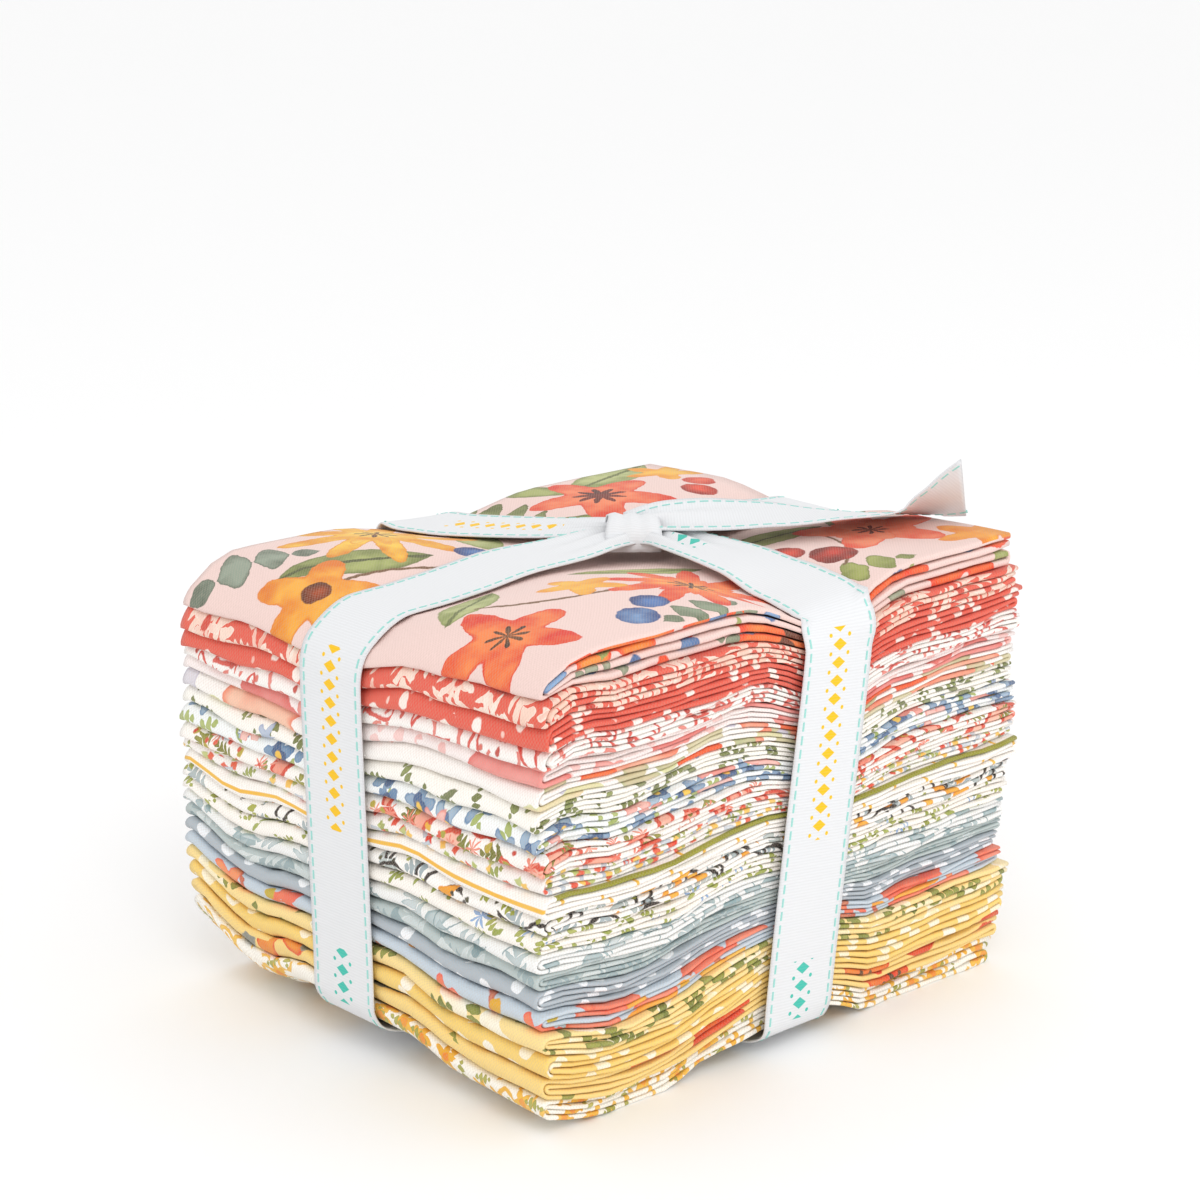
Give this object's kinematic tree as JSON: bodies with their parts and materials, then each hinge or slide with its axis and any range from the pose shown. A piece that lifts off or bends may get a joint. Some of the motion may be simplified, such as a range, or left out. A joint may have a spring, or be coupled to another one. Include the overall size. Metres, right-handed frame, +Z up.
{
  "type": "fat quarter bundle",
  "caption": "Stack of folded quilting-cotton fat quarters in assorted prints, tied along and across with one stitched ribbon.",
  "frame": {"origin": "under the middle of the bundle's bounding box, on the surface that it rests on", "axes": "+Z up, +X along the folded pieces' long side from their last fold to their open side, +Y along their short side from the folded strips' edge to the back"},
  "size_m": [0.1456, 0.1196, 0.1156],
  "materials": {
    "pink": "matte printed cotton",
    "coral_leaf": "matte printed cotton",
    "coral_dot": "matte printed cotton",
    "white_scroll": "matte printed cotton",
    "blush": "matte printed cotton",
    "white_bloom": "matte printed cotton",
    "cream_sprig": "matte printed cotton",
    "blue_flower": "matte printed cotton",
    "medallion": "matte printed cotton",
    "small_floral": "matte printed cotton",
    "line_stripe": "matte printed cotton",
    "dark_paisley": "matte printed cotton",
    "green_sprig": "matte printed cotton",
    "grey_foliage": "matte printed cotton",
    "sage_mottle": "matte printed cotton",
    "blue_dot": "matte printed cotton",
    "light_blue_floral": "matte printed cotton",
    "yellow_leaf": "matte printed cotton",
    "yellow_dot": "matte printed cotton",
    "yellow_bloom": "matte printed cotton",
    "yellow_floral": "matte printed cotton",
    "ribbon": "ribbed woven tape with a stitched line near each edge"
  },
  "bodies": {
    "root": {"fat_quarter_01": "pink", "fat_quarter_02": "coral_leaf", "fat_quarter_03": "coral_dot", "fat_quarter_04": "white_scroll", "fat_quarter_05": "blush", "fat_quarter_06": "white_bloom", "fat_quarter_07": "cream_sprig", "fat_quarter_08": "blue_flower", "fat_quarter_09": "medallion", "fat_quarter_10": "small_floral", "fat_quarter_11": "line_stripe", "fat_quarter_12": "dark_paisley", "fat_quarter_13": "green_sprig", "fat_quarter_14": "grey_foliage", "fat_quarter_15": "sage_mottle", "fat_quarter_16": "blue_dot", "fat_quarter_17": "light_blue_floral", "fat_quarter_18": "yellow_leaf", "fat_quarter_19": "yellow_dot", "fat_quarter_20": "yellow_bloom", "fat_quarter_21": "yellow_floral", "ribbon": "ribbon"}
  },
  "joints": []
}
